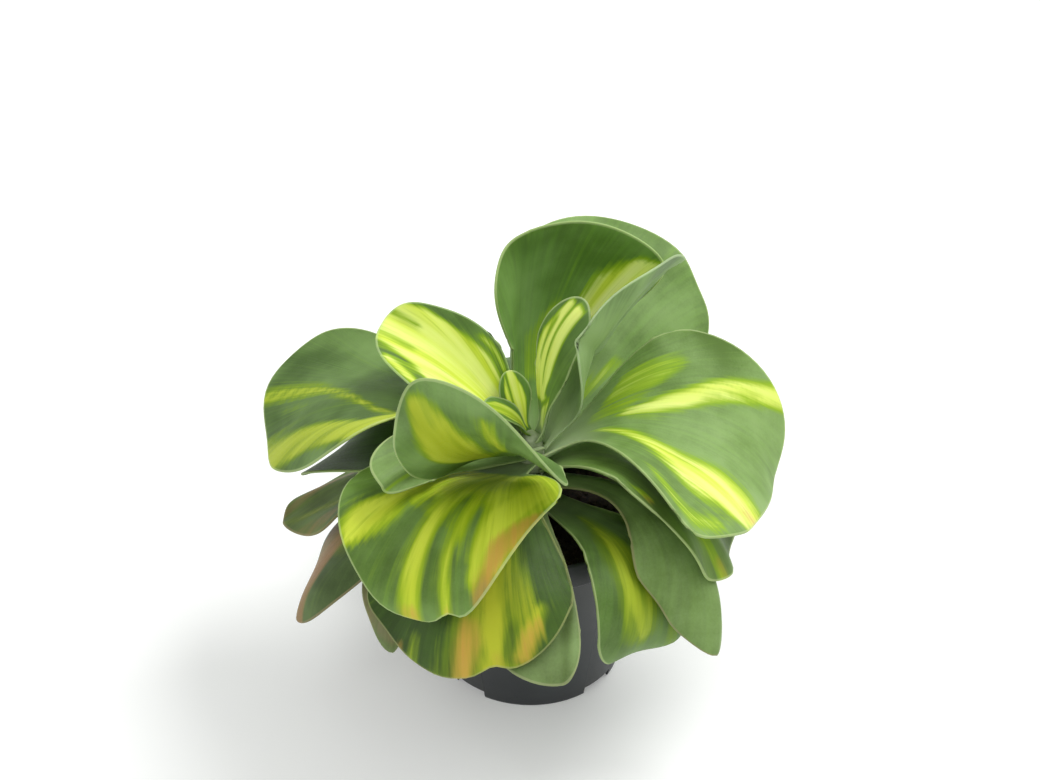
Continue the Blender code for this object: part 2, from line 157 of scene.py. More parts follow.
LEAVES = (
    Leaf("bud_front", heading=187, climb=(76, 29, 25), length=0.027, width=0.015, bend=9, roll=-10,
         cup=(12, 20), crease=8, lopside=0.15, widest=0.61, neck=0.7, gutter=10, root_width=0.005,
         thickness=0.0016),
    Leaf("bud_back", heading=131, climb=(65, 63, 65), length=0.029, width=0.015, bend=-4, roll=-14,
         cup=(11, 18), crease=-1, lopside=-0.05, widest=0.59, roundness=2, neck=1.1, gutter=10,
         root_width=0.005, thickness=0.0016),
    Leaf("inner_right", heading=7, climb=(88, 95, 39), length=0.075, width=0.026, bend=12, roll=26,
         cup=(21, 27), crease=-15, lopside=-0.11, widest=0.64, neck=1.2, root_width=0.009,
         thickness=0.0022),
    Leaf("up_left", heading=158, climb=(52, 44, 12), length=0.084, width=0.061, bend=1, roll=-27,
         cup=(27, 16), crease=20, lopside=0.34, widest=0.5, roundness=2, neck=0.8, root_width=0.010,
         thickness=0.0026),
    Leaf("cup_front", heading=247, climb=(33, 22, 82), length=0.140, width=0.078, bend=-9, roll=34,
         cup=(-40, -20), crease=-12, lopside=0.36, roundness=1.7, neck=1.8, root_width=0.011,
         thickness=0.0028),
    Leaf("back_edge", heading=40, climb=(66, 53, 4), length=0.109, width=0.069, bend=-7, roll=-57,
         cup=(48, 38), crease=-33, lopside=-0.45, widest=0.51, roundness=1.8, neck=0.9,
         root_width=0.010, thickness=0.0026),
    Leaf("left", heading=176, climb=(55, 4, -59), length=0.136, width=0.122, bend=37, roll=12,
         cup=(24, 20), crease=-10, lopside=-0.28, widest=0.67, roundness=1.7, neck=1.6),
    Leaf("small_left", heading=231, climb=(26, 49, -13), length=0.101, width=0.027, bend=-1, roll=-52,
         cup=(11, -1), crease=-31, lopside=-0.27, widest=0.71, roundness=2.4, neck=0.9,
         root_width=0.009, thickness=0.0026),
    Leaf("back", heading=97, climb=(17, 70, 100), length=0.105, width=0.099, bend=-24, roll=63,
         cup=(1, 54), crease=12, lopside=-0.45, widest=0.79, roundness=2, neck=1.3,
         root_width=0.010),
    Leaf("right", heading=5, climb=(45, -2, -64), length=0.129, width=0.125, bend=-7, roll=24,
         cup=(2, 10), crease=13, lopside=-0.36, widest=0.55, roundness=1.7, neck=1.7,
         gutter=17, root_width=0.011),
    Leaf("front", heading=244, climb=(11, 73, -110), length=0.140, width=0.096, bend=11, roll=10,
         cup=(8, 11), crease=1, lopside=-0.06, widest=0.5, roundness=1.7, neck=1.3,
         notch=(0.27, 0.04, 0.13)),
    Leaf("back_right", heading=60, climb=(6, 41, 2), length=0.140, width=0.111, bend=-9, roll=32,
         cup=(4, -5), crease=-14, lopside=0.18, widest=0.61, roundness=2.3),
    Leaf("left_under", heading=168, climb=(17, 40, -90), length=0.099, width=0.074, bend=-29, roll=7,
         cup=(26, 7), crease=-23, lopside=0.45, widest=0.67, roundness=2, neck=1.3),
    Leaf("right_lower1", heading=333, climb=(44, -14, -61), length=0.117, width=0.098, bend=-21,
         roll=-32, cup=(35, 35), crease=-26, lopside=0.45, widest=0.64, roundness=2.8, neck=0.6),
    Leaf("front_low", heading=249, climb=(12, 23, -87), length=0.132, width=0.101, bend=7, roll=11,
         cup=(3, 16), crease=-28, lopside=-0.02, roundness=2.4, neck=1.2,
         notch=(0.45, 0.04, 0.14)),
    Leaf("back_low1", heading=93, climb=(22, -11, -41), length=0.123, width=0.094, bend=8, roll=1,
         cup=(-8, -12), crease=-13, lopside=0.24, widest=0.65, roundness=2.3, neck=1.6),
    Leaf("right_lower2", heading=332, climb=(19, 1, -81), length=0.139, width=0.043, bend=-72,
         roll=-32, cup=(-34, -14), crease=-27, lopside=-0.45, widest=0.66, roundness=1.7, neck=2),
    Leaf("left_low", heading=161, climb=(16, -45, -27), length=0.126, width=0.051, bend=42, roll=5,
         cup=(16, -16), crease=-6, lopside=0.26, widest=0.76, roundness=1.9, neck=1.1,
         root_width=0.010),
    Leaf("back_low3", heading=58, climb=(23, -4, -68), length=0.133, width=0.076, bend=-13, roll=-15,
         cup=(-3, -14), crease=-34, lopside=-0.4, widest=0.76, roundness=2.2, neck=1.5),
    Leaf("front_old", heading=276, climb=(5, -7, -36), length=0.114, width=0.037, bend=1, roll=9,
         cup=(2, 0), crease=-1, lopside=-0.45, widest=0.8, roundness=2, neck=1.2),
    Leaf("left_folded", heading=198, climb=(12, -13, -84), length=0.136, width=0.083, bend=-5, roll=10,
         cup=(-20, -11), crease=-9, lopside=-0.35, widest=0.64, roundness=1.7, neck=1.6,
         root_width=0.010),
    Leaf("back_low2", heading=97, climb=(22, 10, -70), length=0.115, width=0.057, bend=-9, roll=-5,
         cup=(-25, 13), crease=-30, lopside=0.08, widest=0.68, neck=1.5),
    Leaf("right_lower3", heading=319, climb=(-10, 59, -150), length=0.124, width=0.056, bend=-41,
         roll=-22, cup=(35, -7), crease=-8, lopside=-0.45, widest=0.8, roundness=1.9, neck=0.7),
    Leaf("left_old", heading=221, climb=(17, 9, -111), length=0.120, width=0.038, bend=39, roll=-1,
         cup=(2, 18), crease=-35, lopside=-0.43, widest=0.5, roundness=1.7),
    Leaf("back_low4", heading=84, climb=(17, 7, -74), length=0.110, width=0.083, bend=-2, roll=-2,
         cup=(-2, 2), crease=-16, lopside=-0.42, widest=0.61, roundness=2, neck=1.6),
)


@dataclass(frozen=True)
class Look:
    """Markings of one leaf. A stroke is its strength and then points along it, each one the share
    of the length from the root, the place across from right (-1) to left (1), and half its width."""

    green: tuple = MID_GREEN
    bloom: float = 0.30
    yellow: tuple = ()
    cuts: tuple = ()
    blush: tuple = ()
    blush_colour: tuple = ORANGE
    margin: tuple = MARGIN_CREAM
    lemon: tuple = LEMON
    pale_lemon: tuple = PALE_LEMON
    between: tuple = CHARTREUSE
    fan: tuple = (0.18, 0.0)
    # How pale the neck turns: real bloom, with painted light added into the shade by the stem
    pale_root_bloom_and_light: float = 0.0


PLAIN = Look()
LOOKS = {
    "bud_front": Look(
        green=FRESH_GREEN,
        yellow=((0.8, (0, 0, 0.7), (0.8, 0, 0.5), (1, 0, 0.2)),),
        blush=((0.6, (0, 0.2, 0.5), (0.35, 0.3, 0.4)),),
    ),
    "bud_back": Look(
        green=FRESH_GREEN,
        yellow=((1, (0, 0, 0.75), (0.7, 0, 0.6), (1, 0, 0.3)),),
        cuts=((0.7, (0.4, 0.25, 0.05), (1, 0.2, 0.1)),),
    ),
    "inner_right": Look(
        green=MID_GREEN,
        yellow=(
            (0.95, (0.24, 0.45, 0.55), (0.45, 0.36, 0.62), (0.7, 0.3, 0.55), (0.96, 0.1, 0.4)),
            (0.75, (0.05, 0.1, 0.7), (0.2, -0.2, 0.5), (0.32, -0.4, 0.3)),
        ),
        cuts=(
            (0.75, (0.36, 0.12, 0.03), (0.6, 0.14, 0.05), (1, 0.2, 0.07)),
            (0.6, (0.5, 0.6, 0.04), (0.82, 0.55, 0.06)),
            (0.7, (0.1, 0.8, 0.2), (0.2, 0.2, 0.15), (0.3, -0.5, 0.15)),
        ),
        lemon=(0.62, 0.70, 0.07),
        margin=(0.56, 0.66, 0.34),
        pale_root_bloom_and_light=0.35,
    ),
    "up_left": Look(
        green=MID_GREEN,
        yellow=(
            (1, (0.1, -0.15, 0.45), (0.35, -0.12, 0.52), (0.5, -0.1, 0.6), (0.7, -0.06, 0.66),
             (1, 0.0, 0.5)),
            (0.9, (0.6, 0.82, 0.1), (0.7, 0.76, 0.14), (0.88, 0.62, 0.1)),
            (0.7, (0.3, -0.85, 0.08), (0.55, -0.85, 0.06)),
        ),
        cuts=(
            (0.6, (0.45, -0.70, 0.03), (0.6, -0.72, 0.04), (0.8, -0.66, 0.05)),
            (0.9, (0.6, 0.56, 0.03), (0.72, 0.5, 0.05), (1, 0.42, 0.07)),
            (0.75, (0.8, -0.2, 0.03), (1, -0.28, 0.06)),
            (0.6, (0.76, 0.18, 0.02), (1, 0.16, 0.04)),
        ),
        margin=(0.50, 0.64, 0.30),
        pale_root_bloom_and_light=0.35,
    ),
    "cup_front": Look(
        green=MID_GREEN,
        bloom=0.5,
        yellow=(
            (1, (0.32, -0.08, 0.2), (0.5, -0.14, 0.3), (0.64, -0.17, 0.35), (0.8, -0.2, 0.33),
             (0.95, -0.22, 0.2)),
            (0.85, (0.40, 0.22, 0.06), (0.55, 0.33, 0.07), (0.7, 0.39, 0.09), (0.88, 0.42, 0.07)),
        ),
        cuts=(
            (0.85, (0.44, 0.13, 0.02), (0.6, 0.21, 0.03), (0.75, 0.25, 0.04), (0.92, 0.26, 0.06)),
            (0.5, (0.78, -0.1, 0.03), (1, -0.12, 0.06)),
        ),
        lemon=OLIVE_YELLOW,
        pale_lemon=(0.50, 0.57, 0.05),
        between=(0.200, 0.320, 0.014),
        pale_root_bloom_and_light=0.85,
    ),
    "back_edge": Look(green=PALE_GREEN, bloom=0.6, margin=(0.52, 0.64, 0.38), pale_root_bloom_and_light=0.6),
    "left": Look(
        green=(0.060, 0.130, 0.015),
        bloom=0.35,
        yellow=(
            (0.92, (0.48, 0.78, 0.06), (0.56, 0.44, 0.09), (0.63, 0.02, 0.09), (0.72, -0.28, 0.09),
             (0.86, -0.55, 0.07), (0.97, -0.7, 0.05)),
            (0.9, (0.44, 1, 0.2), (0.6, 0.92, 0.24), (0.72, 0.64, 0.3), (0.84, 0.32, 0.3), (1, 0.0, 0.26)),
            (0.5, (0.78, -0.2, 0.06), (0.9, -0.42, 0.06)),
        ),
        cuts=((0.6, (0.7, 0.95, 0.03), (0.86, 0.60, 0.05), (1, 0.2, 0.05)),),
        lemon=(0.32, 0.41, 0.015),
        pale_lemon=(0.43, 0.52, 0.035),
        between=(0.170, 0.280, 0.010),
        fan=(0.46, 0.9),
        pale_root_bloom_and_light=0.4,
    ),
    "small_left": Look(
        green=(0.130, 0.225, 0.045),
        bloom=0.6,
        yellow=((0.4, (0.82, 0.3, 0.1), (1, 0.3, 0.1)),),
    ),
    "back": Look(
        green=(0.105, 0.245, 0.016),
        bloom=0.4,
        yellow=(
            (1, (0.52, -0.66, 0.08), (0.62, -0.7, 0.17), (0.72, -0.76, 0.19), (0.83, -0.9, 0.12)),
            (0.5, (0.3, -0.2, 0.2), (0.5, -0.3, 0.25), (0.62, -0.5, 0.2)),
        ),
        pale_lemon=(0.80, 0.88, 0.30),
        pale_root_bloom_and_light=0.3,
    ),
    "right": Look(
        green=(0.130, 0.245, 0.036),
        bloom=0.7,
        yellow=(
            (0.55, (0.18, 0.2, 0.2), (0.34, 0.45, 0.36), (0.46, 0.5, 0.2), (0.56, 0.62, 0.06)),
            (1, (0.3, 0.0, 0.05), (0.42, 0.05, 0.09), (0.54, 0.14, 0.13), (0.68, 0.37, 0.16),
             (0.84, 0.62, 0.15),
             (0.95, 0.72, 0.1)),
            (1, (0.2, -0.34, 0.05), (0.34, -0.38, 0.09), (0.46, -0.42, 0.12), (0.56, -0.52, 0.17),
             (0.68, -0.6, 0.2),
             (0.82, -0.64, 0.15), (0.92, -0.68, 0.1)),
            (0.7, (0.36, -0.78, 0.05), (0.5, -0.88, 0.08), (0.64, -0.9, 0.07)),
        ),
        cuts=((0.7, (0.5, -0.72, 0.02), (0.66, -0.8, 0.03)), (0.5, (0.6, 0.2, 0.02), (0.8, 0.5, 0.03))),
        blush=((0.75, (0.74, -0.66, 0.08), (0.9, -0.66, 0.1)),),
        pale_root_bloom_and_light=1.0,
    ),
    "front": Look(
        green=(0.090, 0.185, 0.014),
        bloom=0.35,
        yellow=(
            (0.74, (0.14, 0.2, 0.4), (0.3, 0.2, 0.8), (0.46, 0.2, 0.9), (0.58, 0.3, 0.7),
             (0.7, 0.56, 0.36), (0.8, 0.62, 0.2)),
            (0.95, (0.40, 0.72, 0.12), (0.50, 0.72, 0.22), (0.60, 0.62, 0.22), (0.70, 0.52, 0.12),
             (0.84, 0.50, 0.07)),
            (0.95, (0.46, 0.24, 0.04), (0.66, 0.18, 0.07), (0.80, 0.22, 0.06), (1.1, 0.32, 0.07)),
            (1, (0.44, -0.04, 0.05), (0.62, -0.06, 0.09), (0.80, -0.08, 0.11), (1.1, -0.08, 0.12)),
            (1, (0.46, -0.40, 0.05), (0.56, -0.50, 0.10), (0.64, -0.60, 0.18), (0.72, -0.68, 0.16),
             (0.79, -0.76, 0.07)),
        ),
        cuts=(
            (0.9, (0.48, 0.10, 0.02), (0.75, 0.07, 0.035), (1, 0.1, 0.05)),
            (0.75, (0.56, 0.36, 0.02), (0.70, 0.34, 0.03), (1, 0.42, 0.05)),
            (1, (0.52, -0.22, 0.03), (0.66, -0.28, 0.07), (0.8, -0.32, 0.11), (1.1, -0.34, 0.14)),
            (0.7, (0.7, -0.9, 0.06), (0.78, -0.92, 0.06)),
        ),
        blush=(
            (0.95, (0.57, 0.95, 0.10), (0.64, 0.84, 0.15), (0.70, 0.74, 0.17), (0.78, 0.66, 0.12),
             (0.88, 0.60, 0.07)),
            (0.85, (0.92, 0.30, 0.05), (1.1, 0.30, 0.05)),
            (0.9, (0.92, -0.08, 0.10), (1.1, -0.08, 0.10)),
        ),
        lemon=(0.50, 0.60, 0.024),
        pale_lemon=(0.64, 0.74, 0.060),
        between=(0.290, 0.430, 0.008),
        pale_root_bloom_and_light=0.35,
    ),
    "back_right": Look(
        green=(0.110, 0.215, 0.032),
        bloom=0.55,
        yellow=((0.85, (0.14, -0.04, 0.06), (0.34, -0.10, 0.07), (0.50, -0.20, 0.05)),),
        lemon=(0.46, 0.58, 0.09),
        pale_root_bloom_and_light=0.95,
    ),
    "left_under": Look(green=(0.060, 0.130, 0.012), bloom=0.12),
    "right_lower1": Look(
        green=(0.095, 0.180, 0.020),
        yellow=(
            (0.7, (0.5, -0.76, 0.07), (0.62, -0.82, 0.07)),
            (0.6, (0.66, -0.3, 0.08), (0.8, -0.34, 0.1), (1, -0.34, 0.1)),
        ),
        blush=((0.9, (0.55, -0.80, 0.08), (0.62, -0.86, 0.08)), (0.6, (0.9, -0.3, 0.12), (1.1, -0.3, 0.12))),
        lemon=(0.40, 0.46, 0.06),
        pale_root_bloom_and_light=0.15,
    ),
    "front_low": Look(
        green=(0.034, 0.078, 0.005),
        bloom=0.06,
        yellow=(
            (0.62, (0.36, 0.34, 0.1), (0.52, 0.34, 0.2), (0.68, 0.42, 0.34), (0.8, 0.42, 0.42),
             (1.1, 0.3, 0.5)),
            (0.95, (0.46, 0.26, 0.06), (0.6, 0.3, 0.12), (0.78, 0.40, 0.13), (0.9, 0.44, 0.12),
             (1.1, 0.42, 0.12)),
            (0.85, (0.70, 0.22, 0.05), (0.85, 0.20, 0.11), (1.1, 0.20, 0.11)),
            (0.9, (0.64, 0.76, 0.05), (0.78, 0.72, 0.12), (0.92, 0.68, 0.12)),
            (0.62, (0.84, -0.05, 0.05), (1.1, -0.08, 0.06)),
            (0.62, (0.86, -0.32, 0.05), (1.1, -0.36, 0.06)),
        ),
        cuts=((0.6, (0.76, 0.57, 0.02), (0.95, 0.56, 0.04)), (0.6, (0.84, 0.04, 0.02), (1.1, 0.04, 0.04))),
        blush=(
            (0.95, (0.76, 0.18, 0.06), (0.86, 0.20, 0.12), (1.1, 0.17, 0.12)),
            (0.85, (0.70, 0.78, 0.05), (0.80, 0.74, 0.11), (0.93, 0.70, 0.10)),
            (0.7, (0.92, -0.5, 0.06), (1.1, -0.5, 0.06)),
            (0.5, (0.9, 0.45, 0.08), (1.1, 0.45, 0.08)),
        ),
        lemon=(0.36, 0.42, 0.012),
        pale_lemon=(0.46, 0.50, 0.025),
        between=(0.160, 0.250, 0.008),
        margin=(0.34, 0.36, 0.14),
    ),
    "right_lower2": Look(green=(0.105, 0.190, 0.030), bloom=0.6, margin=MARGIN_PINK, pale_root_bloom_and_light=0.1),
    "left_low": Look(
        green=OLIVE_GREEN,
        yellow=(
            (0.7, (0.5, 0.35, 0.08), (0.76, 0.38, 0.1), (1, 0.1, 0.08)),
            (0.6, (0.5, -0.2, 0.06), (1, -0.2, 0.06)),
        ),
        blush=(
            (0.8, (0.6, -0.5, 0.16), (0.8, -0.5, 0.2), (1, -0.3, 0.16)),
            (0.6, (0.7, 0.8, 0.2), (1, 0.6, 0.2)),
        ),
        blush_colour=DUSKY_PINK,
        lemon=(0.22, 0.27, 0.03),
        pale_lemon=(0.30, 0.33, 0.07),
        between=(0.12, 0.18, 0.02),
        margin=MARGIN_PINK,
    ),
    "front_old": Look(green=(0.065, 0.100, 0.020), bloom=0.5, margin=(0.36, 0.38, 0.20)),
    "left_folded": Look(
        green=(0.045, 0.080, 0.015),
        yellow=((0.5, (0.3, 0.2, 0.15), (0.7, 0.1, 0.2)),),
        blush=(
            (0.85, (0.4, -0.5, 0.4), (0.65, -0.4, 0.45), (0.8, -0.15, 0.4), (0.95, 0.1, 0.3),
             (1.1, 0.15, 0.2)),
        ),
        blush_colour=(0.36, 0.19, 0.085),
        between=(0.12, 0.17, 0.02),
        margin=MARGIN_PINK,
    ),
    "right_lower3": Look(
        green=(0.055, 0.125, 0.008),
        bloom=0.35,
        yellow=(
            (0.6, (0.2, -0.3, 0.1), (0.4, -0.45, 0.25), (0.7, -0.5, 0.3), (0.85, -0.5, 0.2)),
            (1, (0.30, -0.40, 0.05), (0.45, -0.50, 0.10), (0.6, -0.56, 0.12), (0.72, -0.52, 0.12),
             (0.84, -0.46, 0.06)),
            (0.6, (0.62, -0.05, 0.05), (1, 0.0, 0.06)),
            (0.7, (0.6, 0.35, 0.06), (1, 0.4, 0.08)),
        ),
        cuts=((0.6, (0.6, -0.8, 0.05), (0.9, -0.8, 0.06)),),
        lemon=(0.30, 0.39, 0.010),
        pale_lemon=(0.40, 0.50, 0.03),
        between=(0.150, 0.250, 0.008),
        pale_root_bloom_and_light=0.12,
    ),
    "left_old": Look(
        green=(0.075, 0.100, 0.022),
        blush=((0.7, (0.3, -0.3, 0.7), (0.95, -0.4, 0.6)),),
        blush_colour=(0.200, 0.160, 0.080),
        margin=(0.34, 0.36, 0.20),
    ),
}


def stem_radius(height):
    rise = np.clip((height - STEM_SHOULDER) / (STEM_TOP - STEM_SHOULDER), 0, 1)
    return STEM_RADIUS * math.sqrt(1 - rise * rise)


def smooth_rise(value):
    value = np.clip(value, 0, 1)
    return value * value * (3 - 2 * value)


def share_along(leaf, u, v):
    """Share of the leaf's length from the root, before any dent in the end."""
    round_end = np.clip(1 - np.abs(v) ** leaf.roundness, 0, 1) ** (1 / leaf.roundness)
    return u * (leaf.widest + (1 - leaf.widest) * round_end)


def half_reach(leaf, along, v):
    """Distance across from the midrib at a place on the blade, left positive."""
    half_root = leaf.root_width / 2
    reach = half_root + (leaf.width / 2 - half_root) * smooth_rise(along / leaf.widest) ** leaf.neck
    return v * reach * (1 + leaf.lopside * np.sign(v))


def leaf_surface(leaf, root_height, u, v):
    """Points of the upper face, for u from root to margin and v from right (-1) to left (1)."""
    along = share_along(leaf, u, v)
    place, depth, half_dent = leaf.notch
    along = along - depth * u ** 6 * np.exp(-((v - place) / half_dent) ** 2)

    # Midrib: slope and heading at evenly spaced stations, added up to points
    station = np.linspace(0, 1, MIDRIB_STEPS + 1)
    root, middle, tip = leaf.climb
    slope = np.radians(root * (1 - station) ** 2 + 2 * middle * station * (1 - station) + tip * station ** 2)
    turn = np.radians(leaf.heading + leaf.bend * station ** 2)
    forward = np.stack([np.cos(slope) * np.cos(turn), np.cos(slope) * np.sin(turn), np.sin(slope)], -1)
    left = np.stack([-np.sin(turn), np.cos(turn), 0 * turn], -1)
    up = np.cross(forward, left)
    lean = np.radians(leaf.roll * np.clip(station / 0.45, 0, 1))[:, None]
    side = left * np.cos(lean) + up * np.sin(lean)
    normal = up * np.cos(lean) - left * np.sin(lean)
    outward = np.array([math.cos(math.radians(leaf.heading)), math.sin(math.radians(leaf.heading)), 0])
    drop = 0.8 * leaf.thickness * max(0.0, -math.sin(math.radians(root)))
    root_radius = stem_radius(root_height) + 2 * GAP + drop
    midrib = np.zeros((MIDRIB_STEPS + 1, 3))
    midrib[1:] = np.cumsum((forward[1:] + forward[:-1]) / 2, 0) * leaf.length / MIDRIB_STEPS
    midrib += outward * root_radius + np.array([0, 0, root_height])

    def at(table):
        return np.stack([np.interp(along, station, table[:, axis]) for axis in range(3)], -1)

    # Cross-section: walk out from the midrib in short steps while the face curls up
    half_root = leaf.root_width / 2
    half_width = leaf.width / 2
    across = half_reach(leaf, along, v)
    walked = np.abs(across)[:, None] * (np.arange(CROSS_STEPS) + 0.5) / CROSS_STEPS
    cup = np.where(v > 0, leaf.cup[0], leaf.cup[1])[:, None]
    near_root = np.clip(1 - along / 0.5, 0, 1)[:, None]
    curl = np.radians(
        cup * walked / half_width
        + leaf.crease * np.tanh(walked / (0.12 * half_width))
        + leaf.gutter * near_root * np.clip(walked / half_root, 0, 1.3)
    )
    step = np.abs(across) / CROSS_STEPS
    sideways = np.cos(curl).sum(1) * step * np.sign(v)
    upwards = np.sin(curl).sum(1) * step

    # Gentle waves that run round the margin and die out inwards
    towards_margin = (1 - (1 - v ** 2) * (1 - u ** 3)) * smooth_rise(along / 0.5)
    wave = np.sin(10 * along + 6 * v + math.radians(3 * leaf.heading))
    upwards += WAVE_SHARE * leaf.length * towards_margin * wave
    points = at(midrib) + at(side) * sideways[:, None] + at(normal) * upwards[:, None]

    # The root clasps the stem: its corners step back round the stem's curve
    clasp = np.clip(1 - along / 0.14, 0, 1) ** 2
    corner = np.clip(np.abs(across), 0, 0.93 * root_radius)
    set_back = (root_radius - np.sqrt(root_radius ** 2 - corner ** 2)) * clasp
    return points - outward * set_back[:, None]


def painted(strokes, along, v, soft=0.24):
    """How strongly the strokes cover each point, from 0 to 1."""
    total = np.zeros_like(along)
    for strength, *line in strokes:
        stations, places, halves = (list(part) for part in zip(*line))
        place = np.interp(along, stations, places)
        half = np.interp(along, stations, halves)
        across = smooth_rise((half - np.abs(v - place)) / soft + 0.5)
        lengthwise = smooth_rise((along - stations[0]) / 0.08 + 0.5)
        if stations[-1] < 1:
            lengthwise *= smooth_rise((stations[-1] - along) / 0.08 + 0.5)
        total = np.maximum(total, strength * across * lengthwise)
    return total


class Nodes:
    """Short forms for building one material's nodes."""

    def __init__(self, name):
        self.material = bpy.data.materials.new(name)
        self.material.use_nodes = True
        self.tree = self.material.node_tree
        self.shader = self.tree.nodes["Principled BSDF"]

    def add(self, kind):
        return self.tree.nodes.new(kind)

    def put(self, value, socket):
        if isinstance(value, bpy.types.NodeSocket):
            self.tree.links.new(value, socket)
        elif isinstance(value, tuple) and len(value) == 3 and socket.type == "RGBA":
            socket.default_value = value + (1,)
        else:
            socket.default_value = value

    def attribute(self, name):
        node = self.add("ShaderNodeAttribute")
        node.attribute_name = name
        return node.outputs["Fac"]

    def vein(self):
        node = self.add("ShaderNodeUVMap")
        node.uv_map = "vein"
        return node.outputs["UV"]

    def place(self):
        return self.add("ShaderNodeTexCoord").outputs["Object"]

    def stretched(self, vector, scale, shift=0.0):
        node = self.add("ShaderNodeMapping")
        self.put(vector, node.inputs["Vector"])
        node.inputs["Scale"].default_value = scale
        node.inputs["Location"].default_value = (shift, 1.7 * shift, 0.3 * shift)
        return node.outputs["Vector"]

    def noise(self, vector, scale, detail=2.0, roughness=0.5):
        node = self.add("ShaderNodeTexNoise")
        self.put(vector, node.inputs["Vector"])
        node.inputs["Scale"].default_value = scale
        node.inputs["Detail"].default_value = detail
        node.inputs["Roughness"].default_value = roughness
        return node.outputs["Fac"]

    def sum(self, first, second, operation="ADD"):
        node = self.add("ShaderNodeMath")
        node.operation = operation
        self.put(first, node.inputs[0])
        self.put(second, node.inputs[1])
        return node.outputs[0]

    def blend(self, first, share, second, other):
        """A share of one value plus a share of another."""
        return self.sum(self.sum(first, share, "MULTIPLY"), self.sum(second, other, "MULTIPLY"))

    def ramp(self, value, low, high, first=0.0, last=1.0):
        node = self.add("ShaderNodeMapRange")
        node.interpolation_type = "SMOOTHSTEP"
        self.put(value, node.inputs["Value"])
        node.inputs["From Min"].default_value = low
        node.inputs["From Max"].default_value = high
        node.inputs["To Min"].default_value = first
        node.inputs["To Max"].default_value = last
        return node.outputs["Result"]

    def mix(self, factor, first, second):
        node = self.add("ShaderNodeMix")
        node.data_type = "RGBA"
        self.put(factor, node.inputs[0])
        self.put(first, node.inputs[6])
        self.put(second, node.inputs[7])
        return node.outputs[2]

    def bump(self, height, strength, distance):
        node = self.add("ShaderNodeBump")
        node.inputs["Strength"].default_value = strength
        node.inputs["Distance"].default_value = distance
        self.put(height, node.inputs["Height"])
        self.put(node.outputs["Normal"], self.shader.inputs["Normal"])


def darker(colour, share):
    return tuple(share * part for part in colour)


def leaf_material(leaf, look, seed):
    nodes = Nodes("skin_of_" + leaf.name)
    vein = nodes.vein()
    place = nodes.place()
    fine = nodes.noise(nodes.stretched(vein, (2.0, 30, 1), seed), 1.0, 3.0, 0.6)
    broad = nodes.noise(nodes.stretched(vein, (1.3, 8, 1), seed + 3), 1.0, 2.0)
    cloud = nodes.noise(place, 30.0, 3.0)
    powder = nodes.noise(place, 850.0, 3.0, 0.7)

    # Green, a little lighter and darker along the veins and in soft clouds
    tone = nodes.ramp(nodes.blend(fine, 0.5, cloud, 0.7), 0.42, 0.8)
    colour = nodes.mix(tone, darker(look.green, 0.68), darker(look.green, 1.3))
    bloom = nodes.ramp(nodes.blend(cloud, 0.8, powder, 0.2), 0.3, 0.75, 0.15 * look.bloom, 1.3 * look.bloom)
    colour = nodes.mix(bloom, colour, POWDER)

    # Yellow bands with a greenish border that runs out in streaks along the veins
    streaky = nodes.blend(broad, 0.5, fine, 0.5)
    ragged = nodes.sum(nodes.sum(streaky, 0.5, "SUBTRACT"), 1.5, "MULTIPLY")
    level = nodes.sum(nodes.attribute("yellow"), ragged)
    colour = nodes.mix(nodes.ramp(level, 0.14, 0.62), colour, look.between)
    lemon = nodes.mix(nodes.ramp(broad, 0.3, 0.65), look.lemon, look.pale_lemon)
    lemon = nodes.mix(nodes.ramp(fine, 0.55, 0.8, 0.0, 0.55), lemon, look.between)
    colour = nodes.mix(nodes.ramp(level, 0.46, 0.98), colour, lemon)

    # Blush, pale root and pale margin; the pale root is bloom plus painted light in the shaded necks by the
    # stem
    blush = nodes.ramp(nodes.sum(nodes.attribute("blush"), ragged), 0.26, 1.15, 0.0, 0.86)
    colour = nodes.mix(blush, colour, look.blush_colour)
    colour = nodes.mix(nodes.attribute("pale"), colour, ROOT_BLOOM_AND_PAINTED_LIGHT)
    rim = nodes.ramp(nodes.attribute("inset"), 0.0001, 0.0007, 0.48, 0.0)
    colour = nodes.mix(rim, colour, look.margin)

    nodes.put(colour, nodes.shader.inputs["Base Color"])
    nodes.put(nodes.ramp(powder, 0.3, 0.7, 0.48, 0.64), nodes.shader.inputs["Roughness"])
    nodes.shader.inputs["Subsurface Weight"].default_value = 0.12
    nodes.shader.inputs["Subsurface Radius"].default_value = (0.6, 1.0, 0.25)
    nodes.shader.inputs["Subsurface Scale"].default_value = 0.003
    nodes.shader.inputs["Specular IOR Level"].default_value = 0.22
    nodes.bump(nodes.blend(fine, 0.7, powder, 0.3), 0.25, 0.0004)
    return nodes.material


def mesh_object(name, points, faces, material):
    mesh = bpy.data.meshes.new(name)
    mesh.from_pydata([tuple(point) for point in points], [], faces)
    mesh.shade_smooth()
    obj = bpy.data.objects.new(name, mesh)
    mesh.materials.append(material)
    bpy.context.scene.collection.objects.link(obj)
    return obj


def unit(vectors):
    return vectors / np.maximum(np.linalg.norm(vectors, axis=-1, keepdims=True), 1e-12)


def grid_normals(grid):
    """Upward normals of a grid of points, [along, across, xyz]."""
    return unit(np.cross(np.gradient(grid, axis=0), np.gradient(grid, axis=1)))


def leaf_rim(grid, normals):
    """Indices round the margin, from the root's right corner back to it, and outward directions."""
    rows, columns = grid.shape[:2]
    index = np.arange(rows * columns).reshape(rows, columns)
    loop = np.concatenate([index[:, 0], index[-1, 1:], index[-2::-1, -1], index[0, -2:0:-1]])
    points = grid.reshape(-1, 3)[loop]
    tangent = unit(np.roll(points, -1, 0) - np.roll(points, 1, 0))
    outward = unit(np.cross(normals.reshape(-1, 3)[loop], tangent))
    centre = points.mean(0)
    if np.sum(outward * (points - centre)) < 0:
        outward = -outward
    return loop, outward


